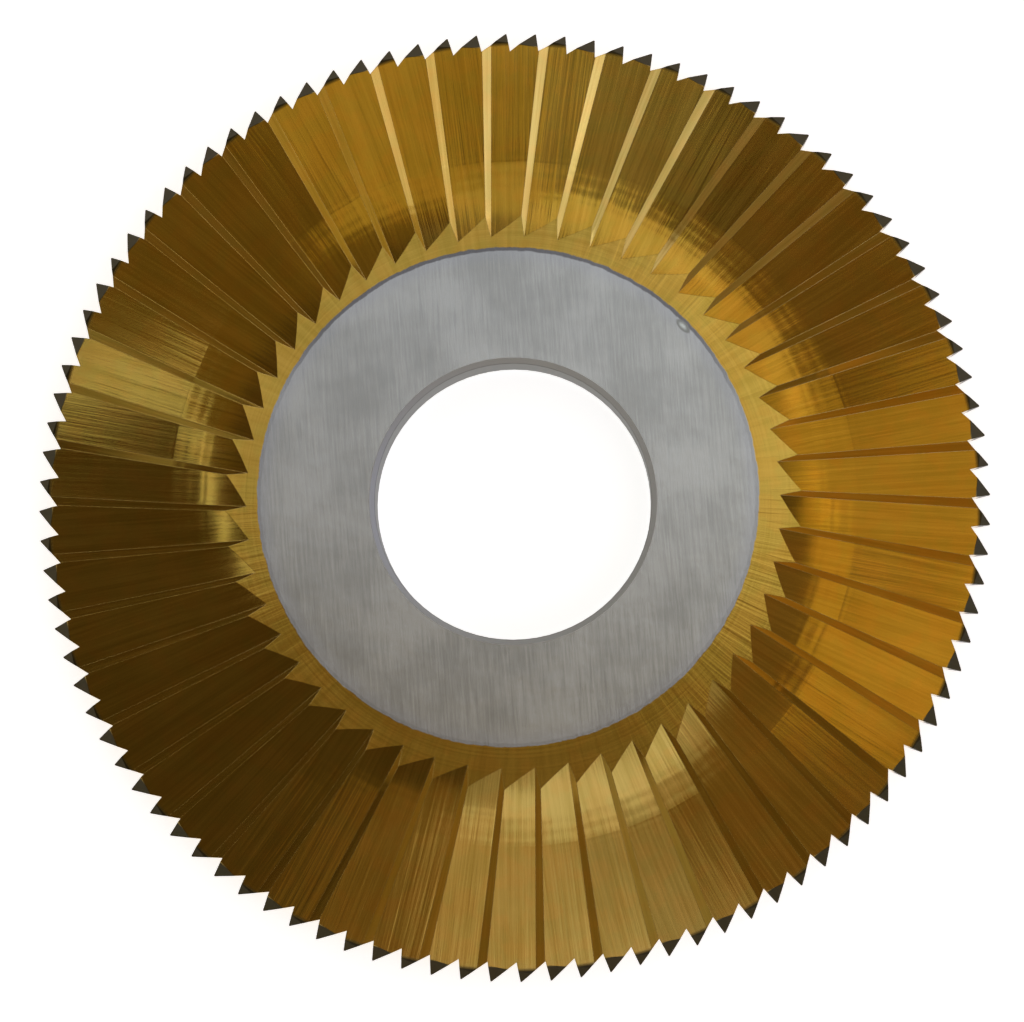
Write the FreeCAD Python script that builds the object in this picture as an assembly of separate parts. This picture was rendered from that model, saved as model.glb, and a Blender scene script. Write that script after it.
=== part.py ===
import FreeCAD, Part
import math
import os

# Key machine cutter: one solid steel disc, lying on its back hub face.
# The bore axis is +Z and z = 0 is the back hub face. Lengths are in millimetres,
# angles in degrees, counted counter-clockwise seen from the front, from +X.
# The cutter turns clockwise seen from the front, so every rake face looks clockwise.

# Turned blank
tip_diameter = 76.0
bore_diameter = 22.0
bore_chamfer = 0.4
hub_thickness = 5.0
hub_face_diameter = 47.2
nose_depth = 1.3
rim_thickness = 2.9
tip_width = 0.6

# Teeth round the rim
tooth_count = 100
tooth_depth = 1.58
tip_land = 0.1
rake_lean = 10.0
first_tip_angle = 0.9

# Side gullets, one for every second tooth on each face
teeth_per_gullet = 2
gullet_offset = 1.7
land_angle = 8.0
gullet_face_angle = 53.0
edge_lead = 0.06
web_thickness = 1.78
floor_slope = 4.3
runout_start_radius = 27.3
wheel_radius = 45.0

# Room that a cutting tool keeps beyond the metal it leaves
tool_overrun = 0.5

tip_radius = tip_diameter / 2
bore_radius = bore_diameter / 2
nose_radius = tip_radius - nose_depth
hub_face_radius = hub_face_diameter / 2
mid_height = hub_thickness / 2
tooth_pitch = 360.0 / tooth_count
gullet_count = tooth_count // teeth_per_gullet
gullet_pitch = tooth_pitch * teeth_per_gullet

Z_AXIS = FreeCAD.Vector(0, 0, 1)
ORIGIN = FreeCAD.Vector(0, 0, 0)


def polar(radius, angle, height=0.0):
    """The point at a radius, an angle and a height."""
    turn = math.radians(angle)
    return FreeCAD.Vector(radius * math.cos(turn), radius * math.sin(turn), height)


def closed_face(points):
    """The flat face inside an outline of straight sides."""
    return Part.Face(Part.makePolygon(points + [points[0]]))


def turned(shape, angle):
    """A copy of a shape turned about the bore axis."""
    copy = shape.copy()
    copy.rotate(ORIGIN, Z_AXIS, angle)
    return copy


def side_face_width():
    """How wide a gullet's steep face is at the nose, where neighbouring gullets meet
    in a sharp cutting edge: the land and the face share one gullet pitch."""
    pitch_width = 2 * nose_radius * math.sin(math.radians(gullet_pitch / 2))
    face_run = math.tan(math.radians(gullet_face_angle))
    land_run = 1 / math.tan(math.radians(land_angle))
    return pitch_width * face_run / (face_run + land_run)


def ring(shape, count):
    """Copies of a shape, evenly spaced about the bore axis."""
    return [turned(shape, 360.0 / count * index) for index in range(count)]


def turned_blank():
    """The disc as turned: flat hub faces, flanks that thin to the rim, and a V nose."""
    half_section = [
        (bore_radius, hub_thickness / 2 - bore_chamfer),
        (bore_radius + bore_chamfer, hub_thickness / 2),
        (hub_face_radius, hub_thickness / 2),
        (nose_radius, rim_thickness / 2),
        (tip_radius, tip_width / 2),
    ]
    front = [FreeCAD.Vector(r, 0, mid_height + h) for r, h in half_section]
    back = [FreeCAD.Vector(r, 0, mid_height - h) for r, h in reversed(half_section)]
    return closed_face(front + back).revolve(ORIGIN, Z_AXIS, 360)


def gullet_tool():
    """What a V-shaped wheel sweeps in one front gullet: straight along the floor,
    then round its own radius as it climbs out into the hub face."""
    slope = math.radians(floor_slope)
    along = FreeCAD.Vector(math.cos(slope), 0, -math.sin(slope))
    up = FreeCAD.Vector(math.sin(slope), 0, math.cos(slope))
    across = FreeCAD.Vector(0, 1, 0)

    # Height of the blank over the gullet floor, at the nose and where the floor starts
    floor_fall = (nose_radius - runout_start_radius) * math.tan(slope)
    start_height = web_thickness / 2 + floor_fall
    nose_cut = (rim_thickness - web_thickness) / 2
    start_cut = hub_thickness / 2 - start_height
    tool_height = max(nose_cut, start_cut) + tool_overrun

    start = FreeCAD.Vector(runout_start_radius, gullet_offset, mid_height + start_height)
    face_reach = tool_height * math.tan(math.radians(gullet_face_angle))
    land_reach = tool_height / math.tan(math.radians(land_angle))
    section = closed_face([
        start,
        start + up * tool_height + across * face_reach,
        start + up * tool_height - across * land_reach,
    ])

    floor_length = (tip_radius + tool_overrun - runout_start_radius) / math.cos(slope)
    straight = section.extrude(along * floor_length)

    wheel_centre = start + up * wheel_radius
    top_drop = wheel_centre.z - hub_thickness - tool_overrun
    exit_angle = math.degrees(math.acos(top_drop / wheel_radius))
    runout = section.revolve(wheel_centre, across, exit_angle - floor_slope)
    return straight.fuse(runout).removeSplitter()


def rake_run():
    """How far clockwise of its tip a rake face has come at the foot of the tooth."""
    return tooth_depth * math.tan(math.radians(rake_lean))


def notch_tool():
    """The prism between one rim tooth's straight back and the next tooth's rake face."""
    overrun_run = tool_overrun * math.tan(math.radians(rake_lean))
    root = FreeCAD.Vector(tip_radius - tooth_depth, -rake_run(), 0)
    rake_top = FreeCAD.Vector(tip_radius + tool_overrun, overrun_run, 0)
    back_start = polar(tip_radius, math.degrees(tip_land / tip_radius) - tooth_pitch)
    back_line = (back_start - root).normalize()
    back_top = back_start + back_line * tool_overrun
    outline = closed_face([root, rake_top, back_top])
    return outline.extrude(Z_AXIS * hub_thickness)


def gullet_turn():
    """How far round the front gullet tool stands, so that its side cutting edge runs
    just ahead of the root under the rake face of its own rim tooth."""
    edge_run = rake_run() + edge_lead + side_face_width()
    line_angle = math.asin(gullet_offset / nose_radius)
    return first_tip_angle - math.degrees(edge_run / nose_radius + line_angle)


def cutter():
    """The whole cutter: blank, side gullets on both faces, then the rim teeth."""
    front_gullet = turned(gullet_tool(), gullet_turn())
    middle = FreeCAD.Vector(0, 0, mid_height)
    back_gullet = turned(front_gullet.mirror(middle, Z_AXIS), tooth_pitch)
    gullets = ring(front_gullet, gullet_count) + ring(back_gullet, gullet_count)
    notches = ring(turned(notch_tool(), first_tip_angle), tooth_count)
    return turned_blank().cut(gullets).cut(notches)


os.makedirs("parts", exist_ok=True)
cutter().exportStep("parts/cutter.step")
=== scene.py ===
import math
from types import SimpleNamespace

import bpy
from mathutils import Matrix, Vector


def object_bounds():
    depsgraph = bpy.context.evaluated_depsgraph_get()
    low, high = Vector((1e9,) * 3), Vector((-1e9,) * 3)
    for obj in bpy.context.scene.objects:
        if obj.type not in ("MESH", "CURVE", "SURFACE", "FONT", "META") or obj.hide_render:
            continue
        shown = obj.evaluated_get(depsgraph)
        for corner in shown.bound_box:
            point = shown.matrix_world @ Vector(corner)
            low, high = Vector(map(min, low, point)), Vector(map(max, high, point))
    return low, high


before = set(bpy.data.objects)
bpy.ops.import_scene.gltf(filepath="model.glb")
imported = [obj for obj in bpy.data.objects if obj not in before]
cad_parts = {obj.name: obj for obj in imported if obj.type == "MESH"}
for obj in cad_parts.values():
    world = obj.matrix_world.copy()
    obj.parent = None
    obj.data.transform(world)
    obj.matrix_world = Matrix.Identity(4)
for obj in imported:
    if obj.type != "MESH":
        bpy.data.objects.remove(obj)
cad_low, cad_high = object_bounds()
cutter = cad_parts["cutter"]

# The photograph's frame, and where the middle of the tip circle's plane lies in it
IMAGE_WIDTH, IMAGE_HEIGHT = 1024, 1022
MIDDLE_PIXEL = (513.55, 503.27)
PIXELS_PER_METRE = 12500.0

# The view: how far the bore axis leans off the camera's line, and towards where
CAMERA_DISTANCE = 0.2848
CAMERA_SENSOR = 36.0
AXIS_LEAN = math.radians(4.77)
AXIS_LEAN_TOWARDS = math.radians(104.8)

# The gullets, as in the part's source, in millimetres and degrees
MID_HEIGHT = 2.5
TOOTH_PITCH = 3.6
GULLET_PITCH = 7.2
GULLET_OFFSET = 1.7
GULLET_TURN = -3.42
STEEP_SHARE = 0.158

# Heights over the middle and radii of the hub, its bore and its rim, in millimetres
HUB_RISE = 2.5
BORE_RADIUS = 11.0
BORE_CHAMFER = 0.4
NOSE_RISE = 1.45
NOSE_RADIUS = 36.7
TIP_RISE = 0.3
TIP_RADIUS = 38.0

# The bare disc in the middle of the hub, a little off the axis, and the nick in its rim
BARE_RADIUS = 19.9
BARE_CENTRE = (-0.4, 0.4)
NICK_PLACE = (13.50, 13.95)
NICK_SIZE = (0.66, 0.30)

# The stretch of a gullet where the wheel began to lift and left ripples, in millimetres
RIPPLES_FROM, RIPPLES_TO, RIPPLES_SOFT = 24.8, 27.3, 0.8
RIPPLE_LENGTH = 0.95

# Marks of the wheel: how close they lie across and along a gullet, and round the hub's
# coated ring by radius and angle. On the disc: what x and y add across and along them.
FINE_MARKS = (5.5, 0.10)
BROAD_MARKS = (1.6, 0.05)
RING_MARKS = (6.0, 0.02)
DISC_MARKS_ACROSS = (4.6, 0.35)
DISC_MARKS_ALONG = (-0.02, 0.22)

# How much single gullets differ: how far they lean, and how dull their coating is
GULLET_LEAN = 0.016
GULLET_DULLNESS, DULLNESS_SPREAD = 0.08, 0.16

# How uneven the metal is, in metres: the height of its marks, and its rounded edges
RELIEF_DEPTH = 0.000008
EDGE_RADIUS = 0.00006

# Roughness of each surface, and what its marks add to it
GOLD_ROUGHNESS, GOLD_MARKS_ROUGHNESS = 0.07, 0.07
STEEL_ROUGHNESS, STEEL_MARKS_ROUGHNESS = 0.17, 0.10
BORE_ROUGHNESS = 0.7
TIP_ROUGHNESS = 0.35

# Colours of the coating and of the bare steel; a pale edge colour that is partly wear and
# partly painted highlight; painted shade for the tips, the disc's edge and the nick's edge
GOLD_DARK = (0.40, 0.24, 0.034, 1.0)
GOLD_LIGHT = (0.62, 0.39, 0.075, 1.0)
GOLD_GREENISH = (0.46, 0.315, 0.050, 1.0)
GOLD_REDDISH = (0.56, 0.300, 0.045, 1.0)
GOLD_DULL = (0.30, 0.18, 0.03, 1.0)
# Partly wear and partly a painted highlight along the edges
GOLD_WORN_AND_HIGHLIGHT = (0.70, 0.54, 0.26, 1.0)
STEEL_DARK = (0.43, 0.43, 0.42, 1.0)
STEEL_LIGHT = (0.59, 0.59, 0.58, 1.0)
STEEL_BLUISH = (0.47, 0.48, 0.55, 1.0)
CHAMFER_STEEL = (0.46, 0.46, 0.45, 1.0)
BORE_STEEL = (0.29, 0.29, 0.28, 1.0)
# A painted shadow along the bare disc's edge, strongest at the top
DISC_RIM_SHADOW = (0.10, 0.09, 0.10, 1.0)
NICK_MIDDLE = (0.62, 0.64, 0.62, 1.0)
# A painted shadow round the nick's edge
NICK_EDGE_SHADOW = (0.30, 0.30, 0.29, 1.0)
# Painted shade of the V-shaped nose and the lands next to it
TIP_SHADE = (0.018, 0.020, 0.016, 1.0)
WHITE = (1.0, 1.0, 1.0, 1.0)

# The floor
FLOOR_SIZE = 8.0
FLOOR_GAP = 0.00005
FLOOR_COLOUR = (0.85, 0.85, 0.85, 1.0)
FLOOR_ROUGHNESS = 0.9
FLOOR_GLOW = 0.70

# Light panels that lie flat over the cutter: place, width and depth as shares of their
# height, turn in degrees, and the light that they send
PANEL_HEIGHT = 3.0
PANEL_SPACING = 0.02
PANELS = (
    ("window", 0.416, -0.303, 0.438, 0.514, -4, (0.40, 0.42, 0.59)),
    ("window_core", 0.372, -0.250, 0.153, 0.305, -40, (0.53, 0.64, 1.12)),
    ("band_right", 0.380, 0.286, 0.118, 0.278, -18, (0.56, 0.41, 0.11)),
    ("band_bridge", 0.319, 0.446, 0.204, 0.280, -60, (0.48, 0.37, 0.13)),
    ("band_upper", 0.169, 0.501, 0.467, 0.286, -32, (0.10, 0.06, 0.03)),
    ("band_far", 0.200, 0.631, 0.280, 0.191, -19, (0.70, 0.58, 0.31)),
    ("band_top", -0.116, 0.643, 0.345, 0.148, 19, (0.88, 0.86, 0.69)),
    ("band_slope", -0.296, 0.501, 0.297, 0.196, -35, (0.21, 0.22, 0.22)),
    ("band_left", -0.365, 0.373, 0.122, 0.406, -18, (0.44, 0.37, 0.16)),
    ("strip", -0.459, -0.228, 0.036, 0.241, -12, (1.10, 1.25, 1.50)),
    ("strip_end", -0.380, -0.100, 0.064, 0.065, -25, (0.82, 0.97, 1.28)),
    ("dim_right", 0.427, 0.146, 0.336, 0.395, 3, (0.14, 0.09, 0.05)),
    ("dim_left", -0.467, 0.171, 0.240, 0.564, 8, (0.10, 0.07, 0.02)),
    ("dim_front", 0.196, -0.246, 0.125, 0.363, -33, (0.16, 0.11, 0.06)),
    ("overhead", 0.030, 0.165, 0.460, 0.210, 0, (0.42, 0.50, 0.60)),
    ("overhead_right", 0.145, 0.145, 0.230, 0.230, 0, (0.36, 0.38, 0.36)),
    ("overhead_wide", 0.000, 0.000, 0.460, 0.400, 0, (0.18, 0.15, 0.11)),
)

# Low softboxes that stand round the cutter and face it: azimuth and width as seen from
# the cutter, in degrees, and the light that they send. They share a distance in metres,
# an angle off the bore axis and a height in degrees.
SOFTBOX_DISTANCE = 0.9
SOFTBOX_POLAR = 73
SOFTBOX_HEIGHT = 16
SOFTBOXES = (
    ("low_front_right", 355, 18, (0.90, 1.05, 1.90)),
    ("low_right", 14, 20, (1.30, 1.50, 2.80)),
    ("low_right_end", 30, 12, (1.15, 1.20, 1.80)),
    ("low_back_right", 44, 16, (0.50, 0.43, 0.26)),
    ("low_back", 66, 29, (0.14, 0.11, 0.07)),
    ("low_back_gap", 88, 14, (0.28, 0.30, 0.32)),
    ("low_left", 183, 36, (0.20, 0.15, 0.08)),
    ("low_left_gap", 208, 15, (0.33, 0.33, 0.33)),
    ("low_front_left", 230, 28, (0.08, 0.05, 0.02)),
    ("low_front", 273, 57, (0.34, 0.19, 0.05)),
    ("low_front_end", 312, 22, (0.15, 0.11, 0.07)),
    ("low_front_gap", 334, 22, (0.25, 0.23, 0.27)),
)

# The room: its colour, a paler band half way up, and a backdrop that ends low down.
# Rises are the upward part of a direction of length one.
ROOM_COLOUR = (0.10, 0.075, 0.04, 1.0)
BAND_COLOUR = (1.15, 1.13, 1.10, 1.0)
BAND_FROM, BAND_TO, BAND_SOFT = 0.52, 0.72, 0.06
BACKDROP_FADES_FROM, BACKDROP_FADES_TO = 0.06, 0.12


def add_camera():
    """Looks down on the front face, framed as in the photograph."""
    middle = (cad_low + cad_high) / 2
    back = Vector((
        -math.cos(AXIS_LEAN_TOWARDS) * math.sin(AXIS_LEAN),
        -math.sin(AXIS_LEAN_TOWARDS) * math.sin(AXIS_LEAN),
        math.cos(AXIS_LEAN),
    ))
    data = bpy.data.cameras.new("camera")
    data.sensor_width = CAMERA_SENSOR
    data.lens = CAMERA_SENSOR * CAMERA_DISTANCE * PIXELS_PER_METRE / IMAGE_WIDTH
    data.shift_x = (IMAGE_WIDTH / 2 - MIDDLE_PIXEL[0]) / IMAGE_WIDTH
    data.shift_y = (MIDDLE_PIXEL[1] - IMAGE_HEIGHT / 2) / IMAGE_WIDTH
    data.clip_start, data.clip_end = 0.01, 20.0
    camera = bpy.data.objects.new("camera", data)
    camera.location = middle + back * CAMERA_DISTANCE
    camera.rotation_mode = "QUATERNION"
    camera.rotation_quaternion = Vector((0, 0, 1)).rotation_difference(back)
    bpy.context.scene.collection.objects.link(camera)
    bpy.context.scene.camera = camera


class Value:
    """What a node gives. Sums and products with it add Math nodes."""

    def __init__(self, graph, socket):
        self.graph = graph
        self.socket = socket

    def __add__(self, other):
        return self.graph.math("ADD", self, other)

    def __sub__(self, other):
        return self.graph.math("SUBTRACT", self, other)

    def __rsub__(self, other):
        return self.graph.math("SUBTRACT", other, self)

    def __mul__(self, other):
        return self.graph.math("MULTIPLY", self, other)

    def __truediv__(self, other):
        return self.graph.math("DIVIDE", self, other)

    def __rtruediv__(self, other):
        return self.graph.math("DIVIDE", other, self)


class Graph:
    """Adds nodes to a node tree and joins them."""

    def __init__(self, tree):
        self.nodes = tree.nodes
        self.links = tree.links

    def put(self, socket, value):
        """A socket takes a number or colour, or what another node gives."""
        if isinstance(value, Value):
            self.links.new(value.socket, socket)
        else:
            socket.default_value = value

    def fill(self, node, values):
        """Gives the node's inputs in use their values, and returns its output in use."""
        sockets = [socket for socket in node.inputs if socket.enabled]
        for socket, value in zip(sockets, values):
            self.put(socket, value)
        return [Value(self, socket) for socket in node.outputs if socket.enabled][0]

    def read(self, kind, *names):
        """The named outputs of a new node that takes nothing in."""
        outputs = self.nodes.new(kind).outputs
        return [Value(self, outputs[name]) for name in names]

    def math(self, operation, *values):
        node = self.nodes.new("ShaderNodeMath")
        node.operation = operation
        return self.fill(node, values)

    def vector_math(self, operation, *values):
        node = self.nodes.new("ShaderNodeVectorMath")
        node.operation = operation
        return self.fill(node, values)

    def vector(self, x, y, z):
        return self.fill(self.nodes.new("ShaderNodeCombineXYZ"), (x, y, z))

    def split(self, vector):
        node = self.nodes.new("ShaderNodeSeparateXYZ")
        self.put(node.inputs[0], vector)
        return [Value(self, socket) for socket in node.outputs]

    def length(self, x, y):
        return self.math("SQRT", x * x + y * y)

    def noise(self, vector, scale=1.0, detail=2.0, roughness=0.5):
        node = self.nodes.new("ShaderNodeTexNoise")
        self.put(node.inputs["Vector"], vector)
        node.inputs["Scale"].default_value = scale
        node.inputs["Detail"].default_value = detail
        node.inputs["Roughness"].default_value = roughness
        return Value(self, node.outputs["Fac"])

    def white_noise(self, value):
        node = self.nodes.new("ShaderNodeTexWhiteNoise")
        node.noise_dimensions = "1D"
        self.put(node.inputs["W"], value)
        return Value(self, node.outputs["Value"])

    def step(self, value, low, high, start=0.0, end=1.0):
        """Runs smoothly from start to end while the value runs from low to high."""
        node = self.nodes.new("ShaderNodeMapRange")
        node.interpolation_type = "SMOOTHSTEP"
        for socket, number in zip(node.inputs, (value, low, high, start, end)):
            self.put(socket, number)
        return Value(self, node.outputs["Result"])

    def between(self, value, low, high, soft):
        """One between low and high, and nothing beyond a soft edge on either side."""
        rises = self.step(value, low - soft, low)
        falls = self.step(value, high, high + soft, start=1.0, end=0.0)
        return rises * falls

    def mix(self, factor, first, second):
        """The first colour where the factor is zero, and the second where it is one."""
        node = self.nodes.new("ShaderNodeMix")
        node.data_type = "RGBA"
        return self.fill(node, (factor, first, second))

    def choose(self, factor, first, second):
        """The first number where the factor is zero, and the second where it is one."""
        node = self.nodes.new("ShaderNodeMix")
        node.data_type = "FLOAT"
        return self.fill(node, (factor, first, second))


def find_spot(graph):
    """Where a point lies: in millimetres, round the bore axis, and in its gullet."""
    metres, = graph.read("ShaderNodeTexCoord", "Object")
    place = graph.vector_math("MULTIPLY", metres, (1000.0, 1000.0, 1000.0))
    x, y, z = graph.split(place)
    radius = graph.length(x, y)
    angle = graph.math("DEGREES", graph.math("ARCTAN2", y, x))
    front = graph.math("GREATER_THAN", z, MID_HEIGHT)
    height = graph.math("ABSOLUTE", z - MID_HEIGHT)
    on_hub = graph.math("GREATER_THAN", height, HUB_RISE - 0.001)

    # The gullets of the back face are turned one tooth pitch from those of the front
    turn = (1.0 - front) * TOOTH_PITCH + GULLET_TURN
    line = graph.math("DEGREES", graph.math("ARCSINE", GULLET_OFFSET / radius))
    from_turn = angle - turn
    gullet = graph.math("FLOOR", (from_turn - line) / GULLET_PITCH + (1 - STEEP_SHARE))
    gullet_angle = gullet * GULLET_PITCH
    local = graph.math("RADIANS", from_turn - gullet_angle)
    across = radius * graph.math("SINE", local) - GULLET_OFFSET
    along = radius * graph.math("COSINE", local)

    # Each gullet has a number of its own, from -0.5 to 0.5, by which it differs
    seed = graph.math("MULTIPLY_ADD", gullet, 7.3, front * 3.1)
    own = graph.white_noise(seed) - 0.5
    return SimpleNamespace(
        place=place, x=x, y=y, radius=radius, angle=angle, front=front, height=height,
        on_hub=on_hub, across=across, along=along, seed=seed, own=own,
        toward=graph.math("RADIANS", gullet_angle + turn),
    )


def add_marks(graph, spot):
    """Marks of the wheel: along each gullet, round the coated ring of the hub, and one
    way over its bare disc. Clouds and patches are large and soft."""
    def gullet_marks(close_across, close_along):
        across = spot.across * close_across
        along = spot.along * close_along
        return graph.noise(graph.vector(across, along, spot.seed), detail=3.0, roughness=0.6)

    ring_place = graph.vector(spot.radius * RING_MARKS[0], spot.angle * RING_MARKS[1], 0.0)
    ring_marks = graph.noise(ring_place, detail=3.0)
    disc_place = graph.vector(
        spot.x * DISC_MARKS_ACROSS[0] + spot.y * DISC_MARKS_ACROSS[1],
        spot.x * DISC_MARKS_ALONG[0] + spot.y * DISC_MARKS_ALONG[1],
        spot.front,
    )
    return SimpleNamespace(
        fine=graph.choose(spot.on_hub, gullet_marks(*FINE_MARKS), ring_marks),
        broad=gullet_marks(*BROAD_MARKS),
        disc=graph.noise(disc_place, detail=4.0, roughness=0.65),
        clouds=graph.noise(spot.place, scale=0.16, detail=3.0, roughness=0.55),
        patches=graph.noise(spot.place, scale=0.55, detail=2.0, roughness=0.5),
    )


def add_zones(graph, spot):
    """Where the coating, the painted shadow along the disc's edge, the nick, the bore and the
    painted shade at the tips are.
    """
    # The coating ends at a slightly wavy circle
    from_centre = graph.length(spot.x - BARE_CENTRE[0], spot.y - BARE_CENTRE[1])
    wander = (graph.noise(spot.place, scale=1.1, detail=3.0, roughness=0.6) - 0.5) * 0.3
    edge = from_centre + wander - BARE_RADIUS
    coated = graph.step(edge, -0.05, 0.06)
    # A painted shadow runs just inside the coating's edge: strongest along the top, faint
    # elsewhere
    upper = graph.step(spot.y / spot.radius, 0.35, 0.75, start=0.22, end=1.0)
    rim_shadow = graph.between(edge, -0.22, 0.0, 0.12) * upper

    # The nick is an uneven oval along the rim, lighter in the middle with a painted shadow
    # round its edge
    nick_x = spot.x - NICK_PLACE[0]
    nick_y = spot.y - NICK_PLACE[1]
    nick_along = (nick_x - nick_y) * (math.sqrt(0.5) / NICK_SIZE[0])
    nick_across = (nick_x + nick_y) * (math.sqrt(0.5) / NICK_SIZE[1])
    nick_reach = graph.length(nick_along, nick_across) + wander * 2.0
    nick = graph.step(nick_reach, 0.9, 1.2, start=1.0, end=0.0) * spot.front

    # The bore with its chamfer, and the bore alone
    chamfer_radius = BORE_RADIUS + BORE_CHAMFER
    wall = graph.step(spot.radius, chamfer_radius, chamfer_radius + 0.05, start=1.0, end=0.0)
    bore = graph.step(spot.radius, BORE_RADIUS + 0.01, BORE_RADIUS + 0.05, start=1.0, end=0.0)

    # Painted shade: the V-shaped nose at the rim is painted dark from its foot on, and the
    # lands a little later, in place of dark reflections
    slope = (NOSE_RISE - TIP_RISE) / (TIP_RADIUS - NOSE_RADIUS)
    nose_height = spot.radius * -slope + (TIP_RADIUS * slope + TIP_RISE)
    on_nose = graph.math("LESS_THAN", graph.math("ABSOLUTE", spot.height - nose_height), 0.03)
    land_shade = graph.step(spot.radius, NOSE_RADIUS + 0.1, NOSE_RADIUS + 0.5)
    nose_shade = graph.step(spot.radius, NOSE_RADIUS - 0.04, NOSE_RADIUS + 0.16)
    return SimpleNamespace(
        edge=edge, coated=coated, rim_shadow=rim_shadow, nick=nick, nick_reach=nick_reach,
        wall=wall, bore=bore, shaded_tip=graph.choose(on_nose, land_shade, nose_shade),
    )


def gold_colour(graph, spot, marks):
    """The coating: streaked along the marks, in patches, and duller in some gullets."""
    tone = marks.fine * 0.35 + marks.broad * 0.35 + marks.clouds * 0.3
    streaked = graph.mix(graph.step(tone, 0.36, 0.64), GOLD_DARK, GOLD_LIGHT)
    tinted = graph.mix(graph.step(marks.patches, 0.40, 0.62), GOLD_GREENISH, GOLD_REDDISH)
    gold = graph.mix(0.35, streaked, tinted)
    return graph.mix(spot.own * DULLNESS_SPREAD + GULLET_DULLNESS, gold, GOLD_DULL)


def steel_colour(graph, marks, zones):
    """The bare steel of the disc and the bore, with a painted shadow along the disc's edge,
    and the nick with a painted shadow round it.
    """
    tone = marks.disc * 0.45 + marks.clouds * 0.55
    steel = graph.mix(graph.step(tone, 0.36, 0.64), STEEL_DARK, STEEL_LIGHT)
    steel = graph.mix(graph.step(zones.edge, -1.6, -0.2, end=0.35), steel, STEEL_BLUISH)
    steel = graph.mix(zones.wall, steel, CHAMFER_STEEL)
    steel = graph.mix(zones.bore, steel, BORE_STEEL)
    # Painted shadow along the disc's edge
    steel = graph.mix(zones.rim_shadow * 0.75, steel, DISC_RIM_SHADOW)
    # The nick: lighter in the middle, with a painted shadow round its edge
    nick_colour = graph.mix(graph.step(zones.nick_reach, 0.1, 0.8), NICK_MIDDLE, NICK_EDGE_SHADOW)
    return graph.mix(zones.nick, steel, nick_colour)


def leaning_normal(graph, spot, rounded):
    """Each gullet was ground on its own, so each leans a little differently."""
    lean = spot.own * GULLET_LEAN
    tilt = graph.vector(
        graph.math("SINE", spot.toward) * (lean * -1.0),
        graph.math("COSINE", spot.toward) * lean,
        0.0,
    )
    tilt = graph.vector_math("SCALE", tilt, 1.0 - spot.on_hub)
    return graph.vector_math("NORMALIZE", graph.vector_math("ADD", rounded, tilt))


def add_relief(graph, spot, marks, zones):
    """How high the marks stand, and the ripples where the wheel began to lift."""
    swell = graph.noise(graph.vector(spot.along * 0.8, 0.0, spot.seed), detail=1.0)
    ripple = graph.math("SINE", spot.along * (2 * math.pi / RIPPLE_LENGTH) + swell * 4.0)
    in_zone = graph.between(spot.along, RIPPLES_FROM, RIPPLES_TO, RIPPLES_SOFT)
    ripples = ripple * swell * (in_zone * (1.0 - spot.on_hub)) * 0.20
    on_coating = marks.broad + marks.fine * 0.28 + ripples
    on_steel = marks.disc * 0.6 + marks.patches
    return graph.choose(zones.coated, on_steel, on_coating)


def add_roughness(graph, marks, zones):
    """The coating is glossier than the bare steel, and the bore is dull."""
    steel = marks.disc * STEEL_MARKS_ROUGHNESS + STEEL_ROUGHNESS
    gold = marks.fine * GOLD_MARKS_ROUGHNESS + GOLD_ROUGHNESS
    rough = graph.choose(zones.coated, steel, gold)
    rough = graph.choose(zones.wall, rough, BORE_ROUGHNESS)
    return graph.choose(zones.shaded_tip, rough, TIP_ROUGHNESS)


def coated_steel():
    """Ground steel with a gold coating, bare round the bore, and painted dark at the tips as
    painted shade.
    """
    material = bpy.data.materials.new("coated_steel")
    material.use_nodes = True
    shader = material.node_tree.nodes["Principled BSDF"]
    graph = Graph(material.node_tree)
    spot = find_spot(graph)
    marks = add_marks(graph, spot)
    zones = add_zones(graph, spot)

    # Edges are slightly rounded, and the coating there is painted lighter, partly as wear and
    # partly as a painted highlight
    bevel = graph.nodes.new("ShaderNodeBevel")
    bevel.samples = 4
    bevel.inputs["Radius"].default_value = EDGE_RADIUS
    rounded = Value(graph, bevel.outputs[0])
    flat, = graph.read("ShaderNodeNewGeometry", "Normal")
    sharpness = 1.0 - graph.vector_math("DOT_PRODUCT", rounded, flat)
    worn_and_highlight = graph.step(sharpness, 0.004, 0.05) * (zones.coated - zones.shaded_tip)

    steel = steel_colour(graph, marks, zones)
    surface = graph.mix(zones.coated, steel, gold_colour(graph, spot, marks))
    # Painted shade at the tips
    surface = graph.mix(zones.shaded_tip * 0.94, surface, TIP_SHADE)
    # Edges painted lighter: partly wear, partly a painted highlight
    surface = graph.mix(worn_and_highlight * 0.45, surface, GOLD_WORN_AND_HIGHLIGHT)
    graph.put(shader.inputs["Base Color"], surface)

    bump = graph.nodes.new("ShaderNodeBump")
    bump.inputs["Distance"].default_value = RELIEF_DEPTH
    graph.put(bump.inputs["Height"], add_relief(graph, spot, marks, zones))
    graph.put(bump.inputs["Normal"], leaning_normal(graph, spot, rounded))
    graph.put(shader.inputs["Normal"], Value(graph, bump.outputs[0]))

    shader.inputs["Metallic"].default_value = 1.0
    graph.put(shader.inputs["Roughness"], add_roughness(graph, marks, zones))
    return material


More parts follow.
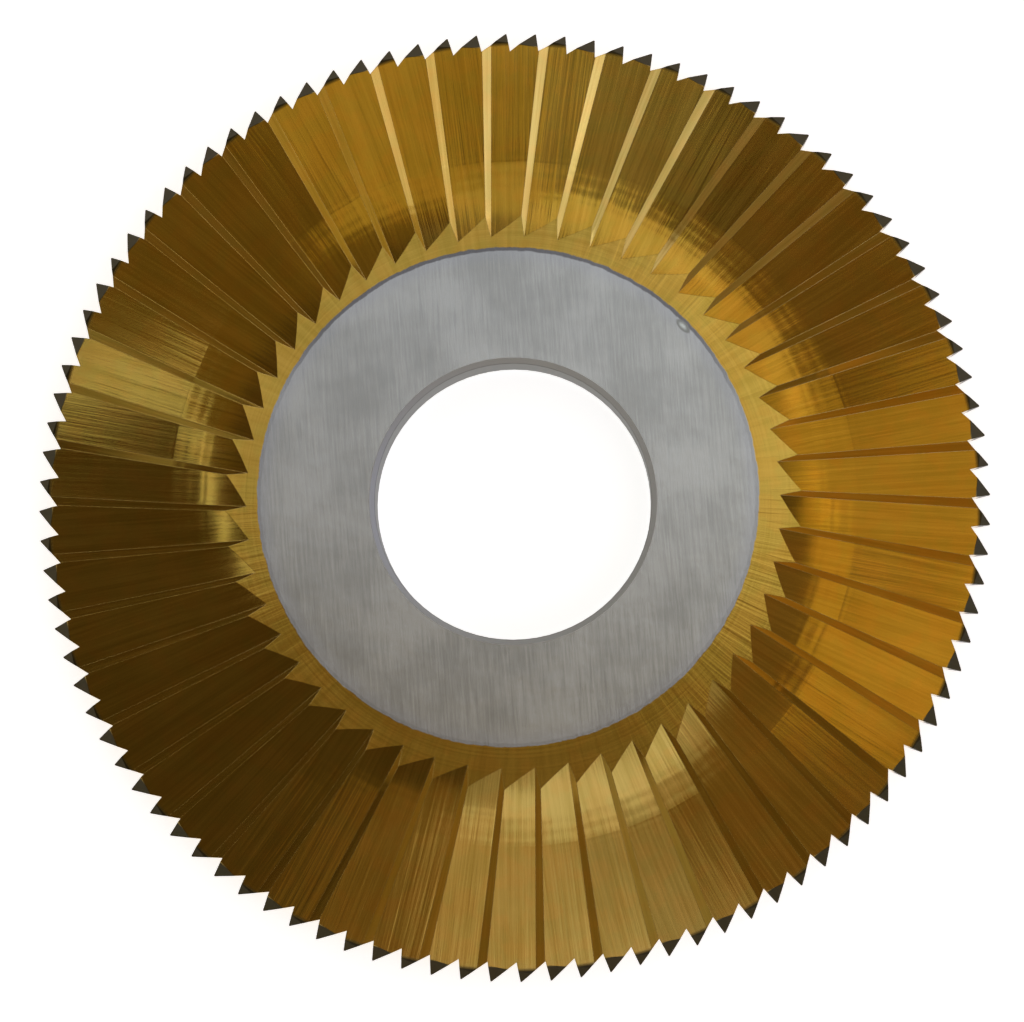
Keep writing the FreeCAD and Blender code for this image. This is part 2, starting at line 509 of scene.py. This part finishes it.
def add_floor():
    """A plain white floor that keeps the cutter's shadow."""
    bpy.ops.mesh.primitive_plane_add(size=FLOOR_SIZE, location=(0, 0, -FLOOR_GAP))
    floor = bpy.context.object
    floor.name = "floor"
    material = bpy.data.materials.new("floor")
    material.use_nodes = True
    shader = material.node_tree.nodes["Principled BSDF"]
    shader.inputs["Base Color"].default_value = FLOOR_COLOUR
    shader.inputs["Roughness"].default_value = FLOOR_ROUGHNESS
    shader.inputs["Specular IOR Level"].default_value = 0.0
    shader.inputs["Emission Color"].default_value = WHITE

    # It glows for the camera and in mirror images, and lights nothing else
    graph = Graph(material.node_tree)
    by_camera, by_gloss, by_glass = graph.read(
        "ShaderNodeLightPath", "Is Camera Ray", "Is Glossy Ray", "Is Transmission Ray"
    )
    seen = graph.math("MAXIMUM", by_camera, graph.math("MAXIMUM", by_gloss, by_glass))
    graph.put(shader.inputs["Emission Strength"], seen * FLOOR_GLOW)
    floor.data.materials.append(material)


def add_lamp(name, place, rotation, width, height, radiance):
    """A rectangular lamp whose light per area and direction is the radiance."""
    data = bpy.data.lights.new(name, "AREA")
    data.shape = "RECTANGLE"
    data.size, data.size_y = width, height
    strongest = max(radiance)
    data.color = [part / strongest for part in radiance]
    data.energy = strongest * math.pi * width * height
    lamp = bpy.data.objects.new(name, data)
    lamp.location = (cad_low + cad_high) / 2 + place
    lamp.rotation_mode = "QUATERNION"
    lamp.rotation_quaternion = rotation.to_quaternion()
    lamp.visible_camera = False
    bpy.context.scene.collection.objects.link(lamp)


def add_panel(index, name, x, y, width, depth, turn, radiance):
    """A flat panel overhead, each a little below the one before."""
    high = PANEL_HEIGHT - PANEL_SPACING * index
    rotation = Matrix.Rotation(math.radians(turn), 3, "Z")
    add_lamp(name, Vector((x, y, 1)) * high, rotation, width * high, depth * high, radiance)


def add_softbox(name, azimuth, width, radiance):
    """A softbox that stands low, faces the cutter and looks as wide as it is given."""
    around = math.radians(azimuth)
    down = math.radians(SOFTBOX_POLAR)
    away = Vector((
        math.cos(around) * math.sin(down),
        math.sin(around) * math.sin(down),
        math.cos(down),
    ))
    level = Vector((-math.sin(around), math.cos(around), 0))
    facing = Matrix((level, away.cross(level), away)).transposed()
    wide = 2 * SOFTBOX_DISTANCE * math.tan(math.radians(width / 2))
    tall = 2 * SOFTBOX_DISTANCE * math.tan(math.radians(SOFTBOX_HEIGHT / 2))
    add_lamp(name, away * SOFTBOX_DISTANCE, facing, wide, tall, radiance)


def add_world():
    """A dim warm room with a pale band, above a white backdrop that stands round the
    floor. The camera sees white in place of the room."""
    world = bpy.data.worlds.new("room")
    world.use_nodes = True
    bpy.context.scene.world = world
    background = world.node_tree.nodes["Background"]
    graph = Graph(world.node_tree)
    direction, = graph.read("ShaderNodeTexCoord", "Generated")
    rise = graph.split(direction)[2]
    in_band = graph.between(rise, BAND_FROM, BAND_TO, BAND_SOFT)
    room = graph.mix(in_band, ROOM_COLOUR, BAND_COLOUR)
    backdrop = graph.step(rise, BACKDROP_FADES_FROM, BACKDROP_FADES_TO, start=1.0, end=0.0)
    by_camera, = graph.read("ShaderNodeLightPath", "Is Camera Ray")
    white = graph.math("MAXIMUM", backdrop, by_camera)
    graph.put(background.inputs["Color"], graph.mix(white, room, WHITE))


add_camera()
add_floor()
for index, panel in enumerate(PANELS):
    add_panel(index, *panel)
for softbox in SOFTBOXES:
    add_softbox(*softbox)
add_world()
material = coated_steel()
for slot in cutter.material_slots:
    slot.material = material
bpy.context.scene.view_settings.view_transform = "Standard"
